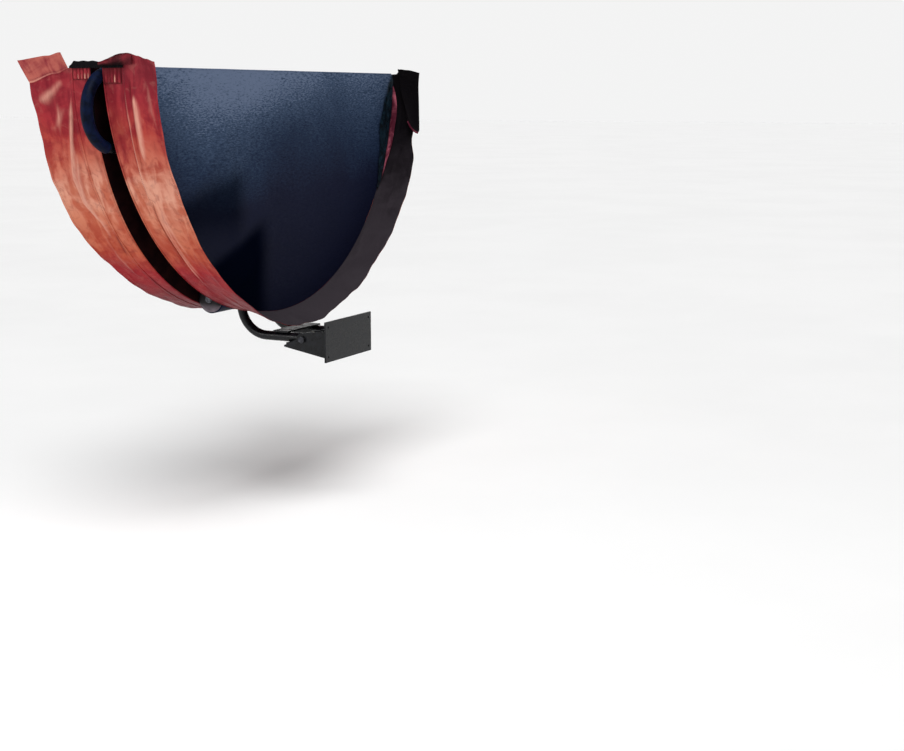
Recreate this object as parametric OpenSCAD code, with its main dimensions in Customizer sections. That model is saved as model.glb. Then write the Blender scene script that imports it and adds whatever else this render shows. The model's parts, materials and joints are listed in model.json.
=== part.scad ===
// Round bi-fold spa cover, folded and hanging on its lifter, beside the tub wall.
// X runs along the fold, +Y points away from the tub and +Z is up.
// The origin is the middle of the lifter's wall plate, on the face that meets the tub's cabinet.
// The near half hangs on the tub's side of the fold and the far half hangs behind it.

/* [Cover] */
// Diameter of the cover when it lies flat
cover_d = 1800; // [1700:10:1900]
// Thickness of a half at the fold
hinge_t = 90; // [80:1:96]
// Thickness of a half at its round edge
rim_t = 56; // [50:1:62]
// Distance from the fold's axis to each top face
fold_gap = 23; // [22.5:0.1:25]
// Width of the skirt that hangs past the underside
skirt_w = 130; // [90:1:135]
// How far the skirt's free edge stands outside its sewn edge
skirt_flare = 11; // [6:1:14]
// Thickness of the vinyl skins
vinyl_t = 1; // [0.8:0.1:1.2]

/* [Lifter] */
// Outside diameter of the lifter's tubes
tube_d = 35; // [32:1:35]
// Distance between the two arms
arm_spacing = 200; // [180:5:260]
// Height of the fold's axis above the pivot
rise = 985; // [980:5:1020]
// Distance from the pivot to the fold's axis, away from the wall
reach = 290; // [280:5:320]
// Distance from the wall face to the pivot
pivot_out = 120; // [110:5:130]
// Distance between the two bars of the loop
bar_drop = 247; // [240:1:250]
// Diameter of the two foam rollers that hold the halves apart
roller_d = 108; // [100:1:108]

/* [Wall plate] */
// Width of the wall plate
plate_w = 340; // [320:5:360]
// Height of the wall plate
plate_h = 150; // [130:5:160]
// Distance between the bolt holes across the plate
bolt_dx = 300; // [280:5:300]
// Distance between the bolt holes up the plate
bolt_dz = 110; // [90:5:110]
// Diameter of the wall bolt holes
bolt_hole_d = 9; // [7:0.5:11]

/* [Hidden] */

$fn = 96;
eps = 0.5;                        // how far a cutting solid runs past what it cuts

// Cover
cover_r = cover_d / 2;
taper = hinge_t - rim_t;
base = fold_gap + hinge_t;        // distance from the fold's plane to an underside
butt = 5;                         // how far each butt face stays below the fold's axis
liner_t = 1;
wrap_t = 0.5;
inner_r = cover_r - vinyl_t;      // outside radius of what the rim band goes round
foam_r = inner_r - wrap_t;
channel_w = 80;
channel_deep = 30;
channel_t = 1.2;
channel_side = 25;                // how far the channel stops short of the round edge
zip_half = 780;
zip_tape_w = 26;
zip_tape_t = 0.5;
zip_rail_w = 5;
zip_rail_t = 1.1;
zip_y = (fold_gap + base) / 2;
slider_gap = 0.3;
slider_size = [16, 11, 1.9];
skirt_t = 2;
skirt_lap = 12;                   // how far the skirt laps up the rim band
butt_angle = asin(butt / cover_r);
flap_t = 2;
flap_root = 20;                   // how far below the fold the raised flap starts
flap_up = 70;                     // how far the raised flap stands past the fold
flap_lean = 28;                   // how far the raised flap leans out, in degrees
flap_down = 230;                  // how far the turned-down flap reaches below the fold
flap_edge = 6;
gather_h = 55;
gather_t = 7;

// Lifter
tube_r = tube_d / 2;
tube_wall = 2;
bore_r = tube_r - tube_wall;
spigot_r = bore_r - 0.05;
spigot_len = 60;
fold = [0, pivot_out + reach, rise];
bar_below = 20;                   // how far the top bar's axis is below the fold's axis
loop = fold - [0, 0, bar_below];
arm_x = arm_spacing / 2;
bar_end = cover_r - 85;
bend_start = cover_r - 62;
bend_r = bar_drop / 2;
grip_r = 20.5;
grip_sweep = 150;
screw_r = 3;
j_bend_r = 110;
strip_r = tube_r + 0.7;
strip_t = 1.8;
strip_half = cover_r - 40;
brace_y = [-215, -150];           // where the cross brace lies, from the fold's plane
brace_t = 6;
sleeve_r = 21;
sleeve_len = 60;
bush_r = 12;
bolt_r = 8;
bolt_play = 0.05;
roller_drop = 830;                // height of the fold's axis above the rollers' axis
roller_r = roller_d / 2;
roller_in = 125;
roller_out = 300;
axle_r = 10;
axle_half = 318;
axle_play = 0.06;
core_r = 15;
cap_r = 50;
cap_deep = 14;
collar_r = 26;
collar_t = 5;
clip_r = 14;
clip_t = 2;

// Wall plate
plate_t = 6;
ear_r = 24;
ear_t = 6;
washer_t = 2;
ear_in = sleeve_len / 2 + washer_t;
ear_top = 38;
shelf_t = 6;
shelf_y = [100, 200];
pad_size = [50, 26, 8];
pad_y = 186;
rest_gap = 0.3;
head_t = 10;
head_r = 13;
nut_t = 13;

vinyl = [0.55, 0.21, 0.22];
navy = [0.13, 0.18, 0.27];
black = [0.06, 0.06, 0.07];
grey = [0.42, 0.38, 0.41];
foam_white = [0.93, 0.93, 0.90];
zinc = [0.72, 0.73, 0.75];

// ---- shared shapes, drawn with the fold's axis at the origin and the half on the -Y side ----

// a slab of a half between two faces, each given by its distance from the fold's plane
// at the fold and at the bottom of the round edge
module slab(a_top, a_rim, b_top, b_rim, r, top = butt) {
  intersection() {
    rotate([90, 0, 0]) cylinder(r = r, h = 2 * base, $fn = 192);
    rotate([90, 0, 90]) translate([0, 0, -cover_r - eps]) linear_extrude(2 * (cover_r + eps))
      polygon([
        [-a_top - (a_rim - a_top) * top / cover_r, -top],
        [-a_rim, -cover_r],
        [-b_rim, -cover_r],
        [-b_top - (b_rim - b_top) * top / cover_r, -top]
      ]);
  }
}

// the body of a half, drawn in by one distance on its two faces
module wedge(inset, r, top) {
  slab(fold_gap + inset, fold_gap + taper + inset, base - inset, base - inset, r, top);
}

module rim_axis_cylinder(r) {
  rotate([90, 0, 0]) translate([0, 0, -eps]) cylinder(r = r, h = 2 * base, $fn = 192);
}

// the near half as it hangs, or the same half turned about for the far side
module at_half(far) {
  translate(fold) rotate([0, 0, far ? 180 : 0]) children();
}

// ---- pieces of one half ----

module channel_solid() {
  mid = fold_gap + hinge_t / 2;
  half_len = sqrt(pow(cover_r, 2) - pow(butt + channel_deep, 2)) - channel_side;
  top = butt + vinyl_t;
  translate([-half_len, -mid - channel_w / 2, -top - channel_deep])
    difference() {
      cube([2 * half_len, channel_w, channel_deep]);
      translate([-eps, channel_t, -eps])
        cube([2 * (half_len + eps), channel_w - 2 * channel_t, channel_deep - channel_t + eps]);
    }
}

module foam_core(far) {
  color(foam_white) at_half(far) difference() {
    wedge(vinyl_t + wrap_t, foam_r, butt + vinyl_t);
    channel_solid();
  }
}

module vapour_wrap(far) {
  color([0.85, 0.88, 0.9]) at_half(far) difference() {
    wedge(vinyl_t, inner_r, butt + vinyl_t);
    wedge(vinyl_t + wrap_t, foam_r, 0);
  }
}

module channel(far) {
  color(zinc) at_half(far) channel_solid();
}

module top_skin(far) {
  color(vinyl * 0.9) at_half(far)
    slab(fold_gap, fold_gap + taper, fold_gap + vinyl_t, fold_gap + taper + vinyl_t, inner_r);
}

module rim_band(far) {
  color(vinyl) at_half(far) difference() {
    wedge(0, cover_r, butt);
    rim_axis_cylinder(inner_r);
  }
}

module underside_liner(far) {
  color(navy) at_half(far) slab(base - liner_t, base - liner_t, base, base, inner_r);
}

module butt_panel(far) {
  color(vinyl * 0.7) at_half(far) difference() {
    wedge(vinyl_t, inner_r, butt);
    translate([-cover_r, -2 * base, -2 * cover_r - butt - vinyl_t])
      cube([2 * cover_r, 4 * base, 2 * cover_r]);
  }
}

// the tape and the closed row of teeth, which stands proud as a rail
module zip(far) {
  color(black) at_half(far) translate([0, -zip_y, -butt]) {
    translate([-zip_half, -zip_tape_w / 2, 0]) cube([2 * zip_half, zip_tape_w, zip_tape_t]);
    translate([-zip_half, -zip_rail_w / 2, zip_tape_t])
      cube([2 * zip_half, zip_rail_w, zip_rail_t]);
  }
}

module zip_slider(far) {
  slot_w = zip_rail_w + 2 * slider_gap;
  color(zinc) at_half(far)
    translate([-zip_half + 12, -zip_y, -butt + zip_tape_t + slider_gap]) {
      difference() {
        translate([0, -slider_size.y / 2, 0]) cube(slider_size);
        translate([-eps, -slot_w / 2, -eps]) cube([slider_size.x + 2 * eps, slot_w, zip_rail_t + eps]);
      }
      translate([slider_size.x / 2, -2.5, slider_size.z]) cube([22, 5, 0.8]);
    }
}

// the skirt is one turn of a slanted strip about the cover's own axis
module skirt(far) {
  sweep = 180 - 2 * butt_angle;
  color(vinyl) at_half(far) rotate([90, 0, 0]) rotate([0, 0, 180 + butt_angle])
    rotate_extrude(angle = sweep, $fn = 192) polygon([
      [cover_r, base - skirt_lap], [cover_r + skirt_t, base - skirt_lap],
      [cover_r + skirt_t, base], [cover_r + skirt_flare + skirt_t, base + skirt_w],
      [cover_r + skirt_flare, base + skirt_w], [cover_r, base]
    ]);
}

// The flap at one end of each skirt covers the gap at the fold when the cover lies flat.
// The far one stands past the fold and leans out, and the near one is turned down.
module skirt_flap(far) {
  root = far ? -flap_root : -flap_down;
  length = far ? flap_root + flap_up : flap_down - butt;
  color(vinyl * 0.8) at_half(far)
    translate([cover_r + skirt_flare + skirt_t, -base - skirt_w + flap_edge, root])
      rotate([0, far ? flap_lean : 0, 0]) cube([flap_t, skirt_w - 2 * flap_edge, length]);
}

module corner_gathers(far) {
  color(vinyl * 0.9) at_half(far) for (side = [0, 1]) mirror([side, 0, 0])
    intersection() {
      difference() {
        rim_axis_cylinder(cover_r + gather_t);
        rim_axis_cylinder(cover_r);
      }
      translate([cover_r / 2, -base + skirt_lap + 1, -gather_h])
        cube([cover_r, hinge_t - skirt_lap - 1, gather_h - butt]);
    }
}

// ---- hinge ----

module hinge_strip() {
  color(vinyl * 0.6) translate(loop) rotate([0, 90, 0]) difference() {
    translate([0, 0, -strip_half]) cylinder(r = strip_r + strip_t, h = 2 * strip_half);
    translate([0, 0, -cover_r]) cylinder(r = strip_r, h = 2 * cover_r);
    translate([butt, -cover_r, -cover_r]) cube([cover_r, 2 * cover_r, 2 * cover_r]);
  }
}

// ---- lifter ----

module tube_x(x0, x1, r = tube_r, bore = bore_r) {
  translate([x0, 0, 0]) rotate([0, 90, 0]) difference() {
    cylinder(r = r, h = x1 - x0);
    translate([0, 0, -eps]) cylinder(r = bore, h = x1 - x0 + 2 * eps);
  }
}

// solid rods where the arms stand, used to shape the tube ends that meet them
module arm_rods() {
  for (side = [-1, 1]) translate([side * arm_x, 0, bar_below - rise + j_bend_r])
    cylinder(r = tube_r, h = rise - j_bend_r - bar_below);
}

module screw_holes(x) {
  translate([x, 0, -bar_drop - 2 * tube_r]) cylinder(r = screw_r, h = bar_drop + 4 * tube_r);
}

module top_bar() {
  color(black) translate(loop) difference() {
    tube_x(-bar_end, bar_end);
    for (side = [-1, 1]) screw_holes(side * (bar_end - spigot_len / 2));
  }
}

module outer_lower_bar(side) {
  color(black) translate(loop) difference() {
    translate([0, 0, -bar_drop]) tube_x(side > 0 ? arm_x : -bar_end, side > 0 ? bar_end : -arm_x);
    arm_rods();
    screw_holes(side * (bar_end - spigot_len / 2));
  }
}

module middle_lower_bar() {
  color(black) translate(loop) difference() {
    translate([0, 0, -bar_drop]) tube_x(-arm_x, arm_x);
    arm_rods();
  }
}

// a U of tube whose two reduced ends plug into the bars
module handle_bend(side) {
  color(black) translate(loop) mirror([side > 0 ? 0 : 1, 0, 0]) {
    translate([bend_start, 0, -bend_r]) rotate([90, 0, 0]) rotate([0, 0, -90])
      rotate_extrude(angle = 180) translate([bend_r, 0]) difference() {
        circle(r = tube_r);
        circle(r = bore_r - tube_wall);
      }
    for (z = [0, -bar_drop]) translate([0, 0, z]) difference() {
      union() {
        tube_x(bar_end, bend_start, tube_r, bore_r - tube_wall);
        tube_x(bar_end - spigot_len, bar_end, spigot_r, bore_r - tube_wall);
      }
      translate([bar_end - spigot_len / 2, 0, -2 * tube_r]) cylinder(r = screw_r, h = 4 * tube_r);
    }
  }
}

module handle_grip(side) {
  color([0.07, 0.09, 0.14]) translate(loop) mirror([side > 0 ? 0 : 1, 0, 0])
    translate([bend_start, 0, -bend_r]) rotate([90, 0, 0]) rotate([0, 0, -grip_sweep / 2])
      rotate_extrude(angle = grip_sweep) translate([bend_r, 0]) difference() {
        circle(r = grip_r);
        circle(r = tube_r);
      }
}

// one screw through each bar and the spigot inside it
module handle_screws() {
  color(zinc) translate(loop) for (side = [-1, 1], z = [0, -bar_drop])
    translate([side * (bar_end - spigot_len / 2), 0, z - tube_r])
      cylinder(r = screw_r - 0.05, h = 2 * tube_r);
}

// a tube that drops from the top bar, bends towards the tub and ends at the pivot sleeve
module arm(side) {
  color(black) translate(fold) difference() {
    translate([side * arm_x, 0, 0]) {
      translate([0, 0, -rise + j_bend_r]) difference() {
        cylinder(r = tube_r, h = rise - j_bend_r - bar_below);
        translate([0, 0, -eps]) cylinder(r = bore_r, h = rise - j_bend_r - bar_below + 2 * eps);
      }
      translate([0, -j_bend_r, -rise + j_bend_r]) rotate([0, 90, 0]) rotate_extrude(angle = 90)
        translate([j_bend_r, 0]) difference() {
          circle(r = tube_r);
          circle(r = bore_r);
        }
      translate([0, -reach, -rise]) rotate([-90, 0, 0]) difference() {
        cylinder(r = tube_r, h = reach - j_bend_r);
        translate([0, 0, -eps]) cylinder(r = bore_r, h = reach - j_bend_r + 2 * eps);
      }
    }
    translate([0, 0, -bar_below]) rotate([0, 90, 0])
      cylinder(r = tube_r, h = 2 * cover_r, center = true);
    translate([0, 0, -roller_drop]) rotate([0, 90, 0])
      cylinder(r = axle_r, h = 2 * cover_r, center = true);
    translate([0, -reach, -rise]) rotate([0, 90, 0])
      cylinder(r = sleeve_r, h = 2 * cover_r, center = true);
  }
}

// a flat bar welded across both arms where they run level
module cross_brace() {
  width = arm_spacing + tube_d;
  color(black) translate(fold + [-width / 2, brace_y[0], -rise + tube_r])
    cube([width, brace_y[1] - brace_y[0], brace_t]);
}

module pivot_sleeves() {
  color(black) for (side = [-1, 1])
    translate([side * arm_x - sleeve_len / 2, pivot_out, 0])
      tube_x(0, sleeve_len, sleeve_r, bush_r);
}

module pivot_bushes() {
  color([0.9, 0.9, 0.86]) for (side = [-1, 1])
    translate([side * arm_x - sleeve_len / 2, pivot_out, 0])
      tube_x(0, sleeve_len, bush_r, bolt_r + bolt_play);
}

// ---- rollers ----

module roller_axle() {
  color(zinc) translate(fold + [-axle_half, 0, -roller_drop]) rotate([0, 90, 0])
    cylinder(r = axle_r, h = 2 * axle_half);
}

module on_roller(side) {
  translate(fold + [0, 0, -roller_drop]) mirror([side > 0 ? 0 : 1, 0, 0]) children();
}

module roller(side) {
  color(black) on_roller(side) tube_x(roller_in, roller_out, roller_r, core_r);
}

module roller_core(side) {
  color(grey) on_roller(side) tube_x(roller_in, roller_out, core_r, axle_r + axle_play);
}

// a domed cap that turns with its roller, with a hole for the axle
module roller_cap(side) {
  color(grey) on_roller(side) translate([roller_out, 0, 0]) rotate([0, 90, 0]) rotate_extrude()
    difference() {
      intersection() {
        translate([0, -eps]) square([cap_r, cap_deep + eps]);
        translate([cap_r - cap_deep, 0]) union() {
          circle(r = cap_deep);
          translate([-cap_r, 0]) square([cap_r, cap_deep]);
        }
      }
      translate([-eps, -2 * cap_deep]) square([axle_r + axle_play + eps, 4 * cap_deep]);
      translate([-eps, -2 * cap_deep]) square([2 * cap_r, 2 * cap_deep]);
    }
}

// collars that keep each roller off its arm, and clips at the axle's two ends
module roller_collars() {
  color(grey) for (side = [-1, 1]) on_roller(side)
    tube_x(roller_in - rest_gap - collar_t, roller_in - rest_gap, collar_r, axle_r);
}

module axle_clips() {
  color(zinc) for (side = [-1, 1]) on_roller(side)
    tube_x(roller_out + cap_deep + rest_gap, roller_out + cap_deep + rest_gap + clip_t, clip_r, axle_r);
}

// ---- wall plate ----

module ear_outline() {
  translate([pivot_out, 0]) circle(r = ear_r);
  polygon([
    [plate_t, ear_top], [pivot_out, ear_r], [pivot_out + ear_r, 0],
    [shelf_y[1], -tube_r - pad_size.z - rest_gap],
    [shelf_y[1], -tube_r - pad_size.z - rest_gap - shelf_t],
    [plate_t, -plate_h / 2 + 8]
  ]);
}

module wall_plate() {
  color(black) difference() {
    union() {
      translate([-plate_w / 2, 0, -plate_h / 2]) cube([plate_w, plate_t, plate_h]);
      for (side = [-1, 1], edge = [-ear_in - ear_t, ear_in])
        translate([side * arm_x + edge, 0, 0]) rotate([90, 0, 90]) linear_extrude(ear_t)
          ear_outline();
      translate([
        -arm_x - ear_in - ear_t, shelf_y[0], -tube_r - pad_size.z - rest_gap - shelf_t
      ])
        cube([arm_spacing + 2 * (ear_in + ear_t), shelf_y[1] - shelf_y[0], shelf_t]);
    }
    for (side = [-1, 1]) translate([side * arm_x - sleeve_len, pivot_out, 0]) rotate([0, 90, 0])
      cylinder(r = bolt_r, h = 2 * sleeve_len);
    for (x = [-1, 1], z = [-1, 1]) translate([x * bolt_dx / 2, -eps, z * bolt_dz / 2])
      rotate([-90, 0, 0]) cylinder(d = bolt_hole_d, h = plate_t + 2 * eps);
  }
}

// rubber pads on the shelf, which the arms come down on when the cover is up
module stop_pads() {
  color([0.1, 0.1, 0.1]) for (side = [-1, 1])
    translate([
      side * arm_x - pad_size.x / 2, pad_y - pad_size.y / 2, -tube_r - rest_gap - pad_size.z
    ])
      cube(pad_size);
}

module pivot_bolts() {
  span = 2 * (ear_in + ear_t);
  color(zinc) for (side = [-1, 1]) translate([side * arm_x - span / 2, pivot_out, 0])
    rotate([0, 90, 0]) {
      cylinder(r = bolt_r, h = span + nut_t + 3);
      translate([0, 0, -head_t]) cylinder(r = head_r, h = head_t, $fn = 6);
    }
}

module pivot_nuts() {
  color(zinc) for (side = [-1, 1])
    translate([side * arm_x + ear_in + ear_t, pivot_out, 0]) rotate([0, 90, 0]) difference() {
      cylinder(r = head_r, h = nut_t, $fn = 6);
      translate([0, 0, -eps]) cylinder(r = bolt_r, h = nut_t + 2 * eps);
    }
}

module thrust_washers() {
  color([0.9, 0.9, 0.86]) for (side = [-1, 1], edge = [-ear_in, sleeve_len / 2 + rest_gap])
    translate([side * arm_x + edge, pivot_out, 0])
      tube_x(0, washer_t - rest_gap, sleeve_r, bolt_r);
}

foam_core(false);  // near_foam_core
vapour_wrap(false);  // near_vapour_wrap
channel(false);  // near_channel
top_skin(false);  // near_top_skin
rim_band(false);  // near_rim_band
underside_liner(false);  // near_underside_liner
butt_panel(false);  // near_butt_panel
zip(false);  // near_zip
zip_slider(false);  // near_zip_slider
skirt(false);  // near_skirt
skirt_flap(false);  // near_skirt_flap
corner_gathers(false);  // near_corner_gathers
foam_core(true);  // far_foam_core
vapour_wrap(true);  // far_vapour_wrap
channel(true);  // far_channel
top_skin(true);  // far_top_skin
rim_band(true);  // far_rim_band
underside_liner(true);  // far_underside_liner
butt_panel(true);  // far_butt_panel
zip(true);  // far_zip
zip_slider(true);  // far_zip_slider
skirt(true);  // far_skirt
skirt_flap(true);  // far_skirt_flap
corner_gathers(true);  // far_corner_gathers
hinge_strip();
top_bar();
outer_lower_bar(-1);  // left_lower_bar
middle_lower_bar();
outer_lower_bar(1);  // right_lower_bar
handle_bend(-1);  // left_handle_bend
handle_bend(1);  // right_handle_bend
handle_grip(-1);  // left_handle_grip
handle_grip(1);  // right_handle_grip
handle_screws();
arm(-1);  // left_arm
arm(1);  // right_arm
cross_brace();
pivot_sleeves();
pivot_bushes();
roller_axle();
roller_collars();
roller(-1);  // left_roller
roller_core(-1);  // left_roller_core
roller_cap(-1);  // left_roller_cap
roller(1);  // right_roller
roller_core(1);  // right_roller_core
roller_cap(1);  // right_roller_cap
axle_clips();
wall_plate();
stop_pads();
pivot_bolts();
pivot_nuts();
thrust_washers();
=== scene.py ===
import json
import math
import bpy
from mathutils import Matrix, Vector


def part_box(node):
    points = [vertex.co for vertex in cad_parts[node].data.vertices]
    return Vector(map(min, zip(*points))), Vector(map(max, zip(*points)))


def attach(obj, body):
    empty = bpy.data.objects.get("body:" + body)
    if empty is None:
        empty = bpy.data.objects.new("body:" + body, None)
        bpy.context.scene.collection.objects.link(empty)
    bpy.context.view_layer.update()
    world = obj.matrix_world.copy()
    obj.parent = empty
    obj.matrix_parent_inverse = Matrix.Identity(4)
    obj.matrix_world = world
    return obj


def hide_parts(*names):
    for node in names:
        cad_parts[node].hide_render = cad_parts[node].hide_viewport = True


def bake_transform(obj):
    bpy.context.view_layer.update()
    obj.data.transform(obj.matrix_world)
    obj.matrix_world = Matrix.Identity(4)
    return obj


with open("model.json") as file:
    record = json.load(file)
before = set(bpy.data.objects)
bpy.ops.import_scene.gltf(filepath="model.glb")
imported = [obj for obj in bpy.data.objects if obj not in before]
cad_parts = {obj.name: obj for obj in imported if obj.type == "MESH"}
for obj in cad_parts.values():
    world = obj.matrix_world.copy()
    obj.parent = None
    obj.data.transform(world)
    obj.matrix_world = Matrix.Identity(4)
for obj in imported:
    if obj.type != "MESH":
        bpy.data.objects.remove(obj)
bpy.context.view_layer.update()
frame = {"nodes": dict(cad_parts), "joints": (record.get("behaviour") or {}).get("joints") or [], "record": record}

# Looks of a folded round spa cover on its lifter. "near" is the half on the tub's side of the
# fold, at -Y, and "far" is the half behind it. Angles run round a half from its -X end, through
# the bottom, to its +X end. Widths are distances from the plane of the fold.

from types import SimpleNamespace

import bpy
import numpy as np
from mathutils import Vector

MM = 0.001
DEG = math.pi / 180
NEAR = SimpleNamespace(name="near", sign=-1.0, body="lifter_and_near_half")
FAR = SimpleNamespace(name="far", sign=1.0, body="far_half")
HALVES = (NEAR, FAR)
SIDES = {-1: "left", 1: "right"}


# ---- sizes, read from the frame ----

def joint_place(name):
    return np.array(next(j["pos_m"] for j in frame["joints"] if j["name"] == name), float)


FOLD = joint_place("cover_fold")


def span(node):
    """Lowest and highest corner of a CAD node, from the fold's middle."""
    lo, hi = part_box(node)
    return np.array(lo) - FOLD, np.array(hi) - FOLD


RIM_LO, RIM_HI = span("near_rim_band")
LINER_LO, LINER_HI = span("near_underside_liner")
TOP_LO, _ = span("near_top_skin")
SKIRT_LO, SKIRT_HI = span("near_skirt")
GATHER_LO, _ = span("near_corner_gathers")
ZIP_LO, ZIP_HI = span("near_zip")
_, STRIP_HI = span("hinge_strip")
BAR_LO, BAR_HI = span("top_bar")

RADIUS = RIM_HI[0]
# widths, from the fold's plane: a half's underside, and its top face beside the fold
BASE = -RIM_LO[1]
GAP = -RIM_HI[1]
# depth of the halves' flat end faces below the fold, and the angle where the round edge meets them
BUTT = -RIM_HI[2]
END_ANGLE = math.asin(BUTT / RADIUS)
# half the length of the end faces
FACE_REACH = math.sqrt(RADIUS ** 2 - BUTT ** 2)
SKIN = LINER_HI[1] - LINER_LO[1]
# how much further out a top face is at the bottom than beside the fold
TAPER = -TOP_LO[1] - SKIN - GAP
SKIRT_W = -SKIRT_LO[1] - BASE
SKIRT_LAP = BASE + SKIRT_HI[1]
SKIRT_CLOTH = 1.5 * MM
FLARE = SKIRT_HI[0] - RADIUS - 2 * MM
GATHER_H = -GATHER_LO[2]
BAR_BELOW = -(BAR_LO[2] + BAR_HI[2]) / 2
# the studio floor's depth below the origin
FLOOR_DROP = 0.663


# ---- small maths ----

def ease(x):
    x = np.clip(x, 0.0, 1.0)
    return x * x * (3.0 - 2.0 * x)


def eased_between(x, knots):
    """A smooth curve through (x, value) knots."""
    places, values = np.array(knots, float).T
    x = np.clip(x, places[0], places[-1])
    i = np.clip(np.searchsorted(places, x, side="right") - 1, 0, len(places) - 2)
    share = ease((x - places[i]) / (places[i + 1] - places[i]))
    return values[i] + share * (values[i + 1] - values[i])


def running(steps):
    """The total before the first step and after each one."""
    return np.concatenate([[0.0], np.cumsum(steps)])


def down(low, high, count):
    """Evenly spaced values down the rows of a grid."""
    return np.linspace(low, high, count)[:, None]


def over(low, high, count):
    """Evenly spaced values over the columns of a grid."""
    return np.linspace(low, high, count)[None, :]


def shares(rows, cols):
    """Values from 0 to 1 down a grid, and over it."""
    return down(0.0, 1.0, rows), over(0.0, 1.0, cols)


def from_fold(x, y, z):
    """Points, from their distances to the fold's middle."""
    return FOLD + np.stack(np.broadcast_arrays(x, y, z), -1)


def on_half(half, angle, width, radius):
    """Points of a half from its angle, width and radius."""
    return from_fold(-radius * np.cos(angle), half.sign * width, -radius * np.sin(angle))


def outward_of(half, points):
    """Each point's way out from the middle of a half's underside."""
    return points - from_fold(0.0, half.sign * BASE, 0.0)


def top_width(depth):
    """Distance of a top face from the fold's plane, at a depth below the fold."""
    return GAP + TAPER * depth / RADIUS


def base_width(depth):
    """Distance of an underside from the fold's plane: the same at every depth."""
    return BASE


def crest(off, spread, soft):
    """Height across a crease, from 1 at its crest: round at the top when soft is high."""
    return np.exp(soft - np.sqrt((off / (spread * MM)) ** 2 + soft ** 2))


def crease(arc, width, line, height, spread):
    """Height of a crease along a line of (angle in degrees, width in mm) points: sharp at its
    crest, and fading to nothing at its two ends."""
    points = np.array([(RADIUS * a * DEG, w * MM) for a, w in line])
    steps = np.hypot(*np.diff(points, axis=0).T)
    reached = running(steps)
    nearest = np.full(arc.shape, 9.0)
    share = np.zeros(arc.shape)
    for start, end, step, before in zip(points[:-1], points[1:], steps, reached):
        run = end - start
        a, w = arc - start[0], width - start[1]
        along = np.clip((a * run[0] + w * run[1]) / step ** 2, 0.0, 1.0)
        off = np.hypot(a - along * run[0], w - along * run[1])
        share = np.where(off < nearest, (before + along * step) / reached[-1], share)
        nearest = np.minimum(nearest, off)
    return height * MM * crest(nearest, spread, 0.3) * ease(share / 0.22) * ease((1.0 - share) / 0.3)


def loose_creases(seed, count):
    """Small creases at random places, mostly along the arc."""
    chance = np.random.default_rng(seed)
    made = []
    for _ in range(count):
        angle = chance.uniform(3.0, 172.0)
        width = chance.uniform(38.0, 235.0)
        reach = chance.uniform(4.0, 17.0)
        climb = chance.uniform(-26.0, 26.0)
        bow = chance.uniform(-7.0, 7.0)
        middle = (angle + reach / 2, width + climb / 2 + bow)
        line = [(angle, width), middle, (angle + reach, width + climb)]
        height = chance.choice([-1.0, 1.0]) * chance.uniform(0.8, 2.6)
        made.append((line, height, chance.uniform(4.0, 9.0)))
    return made


# ---- the creases that show, as (line, height in mm, spread in mm) ----

CREASES = {
    "near": [
        ([(4, 141), (9, 146), (15, 147), (22, 142)], 8.5, 11.0),
        ([(1, 109), (9, 111), (20, 112), (31, 111)], 7.0, 3.8),
        ([(1, 127), (10, 128), (18, 122), (27, 119)], -4.0, 4.0),
        ([(3, 113), (9, 113), (16, 106), (24, 105)], -3.0, 3.5),
        ([(25, 119), (34, 110), (43, 117), (58, 117)], -4.5, 4.0),
        ([(27, 125), (36, 122), (46, 128), (60, 126)], 5.0, 7.0),
        ([(28, 138), (38, 150), (47, 167)], 4.5, 8.0),
        ([(30, 132), (44, 139), (56, 148)], 3.0, 5.0),
        ([(2, 205), (9, 214), (17, 236)], 3.5, 12.0),
        ([(34, 232), (40, 205), (47, 192)], 3.0, 9.0),
        ([(58, 160), (66, 168), (74, 172)], 2.5, 7.0),
    ],
    "far": [
        (
            [(2, 103), (6, 112), (11, 122), (17, 142), (24, 163), (30, 160), (35, 133), (43, 122)],
            8.0, 7.0,
        ),
        ([(4, 96), (11, 110), (17, 129), (24, 150)], -3.0, 4.0),
        ([(15, 128), (20, 135), (24, 146), (29, 155), (34, 140)], 5.0, 6.0),
        ([(2, 126), (5, 172), (8, 240)], 5.4, 19.0),
        ([(7, 125), (12, 180), (16, 240)], 2.6, 14.0),
        ([(22, 236), (27, 200), (31, 176)], 4.0, 9.0),
        ([(36, 150), (46, 152), (56, 140)], 3.5, 8.0),
    ],
}
CREASES["near"] += loose_creases(11, 34)
CREASES["far"] += loose_creases(23, 34)

# how far the skirt's free edge stands out from its cut line, as (angle, mm) knots
EDGE_OUT = {
    "near": [
        (-4, 6), (6, 2), (18, -2), (32, -3), (46, 4), (60, 9), (72, 24), (84, 33), (96, 24),
        (110, 6), (124, 2), (138, 8), (152, 13), (166, 8), (184, 4),
    ],
    "far": [
        (-4, 34), (4, 32), (11, 20), (20, 21), (31, 15), (42, 3), (54, -5), (68, -10), (82, -6),
        (100, 4), (130, 6), (160, 2), (184, 4),
    ],
}
# how strongly its free edge ripples, as (angle, share) knots
RIPPLED = {
    "near": [(-4, 0.6), (20, 0.35), (64, 0.35), (80, 1.0), (150, 1.0), (165, 0.5), (184, 0.5)],
    "far": [(-4, 0.8), (70, 0.8), (90, 1.0), (184, 1.0)],
}
# how much narrower a skirt hangs where its edge turns under, as (angle, mm) knots
EDGE_TURNED = {
    "near": [(-4, 0), (157, 0), (163, 19), (170, 20), (184, 14)],
    "far": [(-4, 0), (34, 0), (45, 14), (61, 40), (74, 50), (92, 44), (112, 14), (130, 0), (184, 0)],
}
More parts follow.
